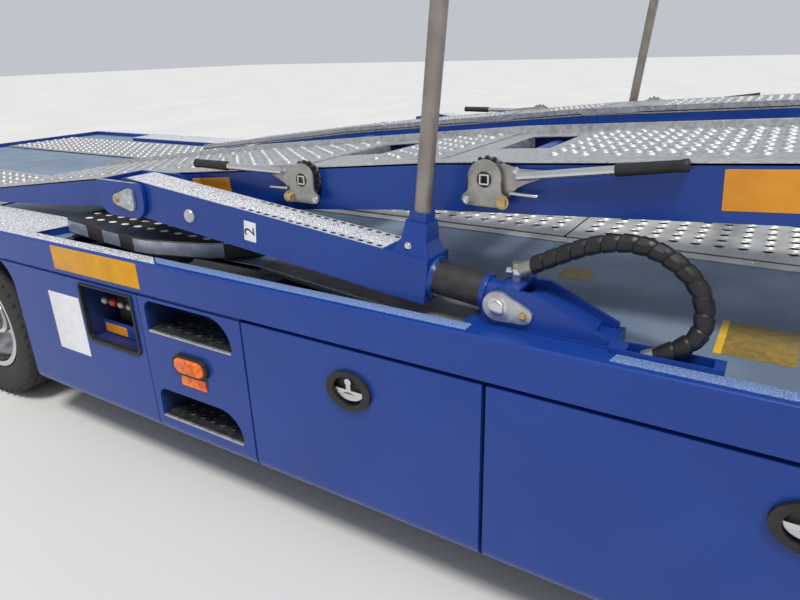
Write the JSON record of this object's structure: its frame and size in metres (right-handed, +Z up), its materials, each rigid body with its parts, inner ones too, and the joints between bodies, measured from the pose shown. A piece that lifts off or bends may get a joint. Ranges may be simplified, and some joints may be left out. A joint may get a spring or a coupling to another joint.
{
  "type": "car transporter semi-trailer",
  "caption": "Low two-deck semi-trailer for carrying cars, with a tilting platform lifted by side arms, skirted sides with lockers and steps, a raised neck and twin rear axles.",
  "frame": {"origin": "on the ground under the middle of the overall length and width", "axes": "+X forward towards the kingpin, -Y the kerb side, +Z up"},
  "size_m": [12.2, 2.568, 2.1803],
  "materials": {
    "blue_paint": "deep glossy blue",
    "frame_paint": "dark underframe paint",
    "deck_paint": "worn grey non-slip deck",
    "galvanised": "galvanised, dull spangle",
    "polished_rim": "polished",
    "black_metal": "satin black",
    "machined_steel": "bare",
    "ratchet_steel": "plated",
    "lamp_lens": "coloured lens",
    "hose_rubber": "matte black",
    "flap_rubber": "matte black, dusty",
    "tyre_rubber": "matte black"
  },
  "bodies": {
    "trailer": {"main_rails": "frame_paint", "chassis_frame": "frame_paint", "side_sills": "blue_paint", "low_deck": "deck_paint", "deck_tracks": "galvanised", "neck_frame": "blue_paint", "coupler_plate": "machined_steel", "rear_bumper": "blue_paint", "lamps": "lamp_lens", "landing_legs": "frame_paint", "axles": "frame_paint", "suspension": "frame_paint", "mud_flaps": "flap_rubber", "arm_brackets": "blue_paint", "hose_ports": "machined_steel", "control_valves": "black_metal", "stored_ramps": "black_metal", "skirt_right": "blue_paint", "recess_boxes_right": "frame_paint", "lockers_right": "frame_paint", "hose_right": "hose_rubber", "skirt_left": "blue_paint", "recess_boxes_left": "frame_paint", "lockers_left": "frame_paint", "hose_left": "hose_rubber"},
    "platform": {"platform_beams": "blue_paint", "platform_frame": "blue_paint", "platform_tracks": "galvanised", "strap_ratchets": "ratchet_steel"},
    "lift_cylinder_right": {"lift_cylinder_right": "black_metal"},
    "lift_arm_right": {"lift_arm_right": "blue_paint", "guide_post_right": "galvanised"},
    "lift_cylinder_left": {"lift_cylinder_left": "black_metal"},
    "lift_arm_left": {"lift_arm_left": "blue_paint", "guide_post_left": "galvanised"},
    "wheels_front_right": {"tyres_front_right": "tyre_rubber", "wheels_front_right": "polished_rim"},
    "wheels_front_left": {"tyres_front_left": "tyre_rubber", "wheels_front_left": "polished_rim"},
    "wheels_rear_right": {"tyres_rear_right": "tyre_rubber", "wheels_rear_right": "polished_rim"},
    "wheels_rear_left": {"tyres_rear_left": "tyre_rubber", "wheels_rear_left": "polished_rim"},
    "locker_door_front_right": {"locker_door_front_right": "blue_paint"},
    "locker_door_front_left": {"locker_door_front_left": "blue_paint"},
    "locker_door_rear_right": {"locker_door_rear_right": "blue_paint"},
    "locker_door_rear_left": {"locker_door_rear_left": "blue_paint"}
  },
  "joints": [
    {"name": "platform_tilt", "type": "hinge", "parent": "trailer", "child": "platform", "pos_m": [2.54, 0, 1.392], "axis": [0, 1, 0], "range_deg": [0, 7]},
    {"name": "lift_cylinder_right_swing", "type": "hinge", "parent": "trailer", "child": "lift_cylinder_right", "pos_m": [-0.87, -1.135, 0.945], "axis": [0, 1, 0], "range_deg": [0, 22.3]},
    {"name": "lift_arm_right_slide", "type": "slide", "parent": "lift_cylinder_right", "child": "lift_arm_right", "axis": [-0.9945, 0, 0.1045], "range_m": [0, 0.163]},
    {"name": "lift_cylinder_left_swing", "type": "hinge", "parent": "trailer", "child": "lift_cylinder_left", "pos_m": [-0.87, 1.135, 0.945], "axis": [0, 1, 0], "range_deg": [0, 22.3]},
    {"name": "lift_arm_left_slide", "type": "slide", "parent": "lift_cylinder_left", "child": "lift_arm_left", "axis": [-0.9945, 0, 0.1045], "range_m": [0, 0.163]},
    {"name": "wheels_front_right_spin", "type": "hinge", "parent": "trailer", "child": "wheels_front_right", "pos_m": [-3.48, -1.0105, 0.39], "axis": [0, 1, 0], "continuous": true},
    {"name": "wheels_front_left_spin", "type": "hinge", "parent": "trailer", "child": "wheels_front_left", "pos_m": [-3.48, 1.0105, 0.39], "axis": [0, 1, 0], "continuous": true},
    {"name": "wheels_rear_right_spin", "type": "hinge", "parent": "trailer", "child": "wheels_rear_right", "pos_m": [-4.73, -1.0105, 0.39], "axis": [0, 1, 0], "continuous": true},
    {"name": "wheels_rear_left_spin", "type": "hinge", "parent": "trailer", "child": "wheels_rear_left", "pos_m": [-4.73, 1.0105, 0.39], "axis": [0, 1, 0], "continuous": true},
    {"name": "locker_door_front_right_hinge", "type": "hinge", "parent": "trailer", "child": "locker_door_front_right", "pos_m": [-0.16, -1.16, 0.206], "axis": [1, 0, 0], "range_deg": [0, 90]},
    {"name": "locker_door_front_left_hinge", "type": "hinge", "parent": "trailer", "child": "locker_door_front_left", "pos_m": [-0.16, 1.16, 0.206], "axis": [-1, 0, 0], "range_deg": [0, 90]},
    {"name": "locker_door_rear_right_hinge", "type": "hinge", "parent": "trailer", "child": "locker_door_rear_right", "pos_m": [-1.285, -1.16, 0.206], "axis": [1, 0, 0], "range_deg": [0, 90]},
    {"name": "locker_door_rear_left_hinge", "type": "hinge", "parent": "trailer", "child": "locker_door_rear_left", "pos_m": [-1.285, 1.16, 0.206], "axis": [-1, 0, 0], "range_deg": [0, 90]}
  ],
  "couplings": [
    {"joint": "lift_cylinder_right_swing", "follows": "platform_tilt", "ratio": 3.1746},
    {"joint": "lift_arm_right_slide", "follows": "platform_tilt", "m_per_rad": 1.3252},
    {"joint": "lift_cylinder_left_swing", "follows": "platform_tilt", "ratio": 3.1746},
    {"joint": "lift_arm_left_slide", "follows": "platform_tilt", "m_per_rad": 1.3252}
  ]
}
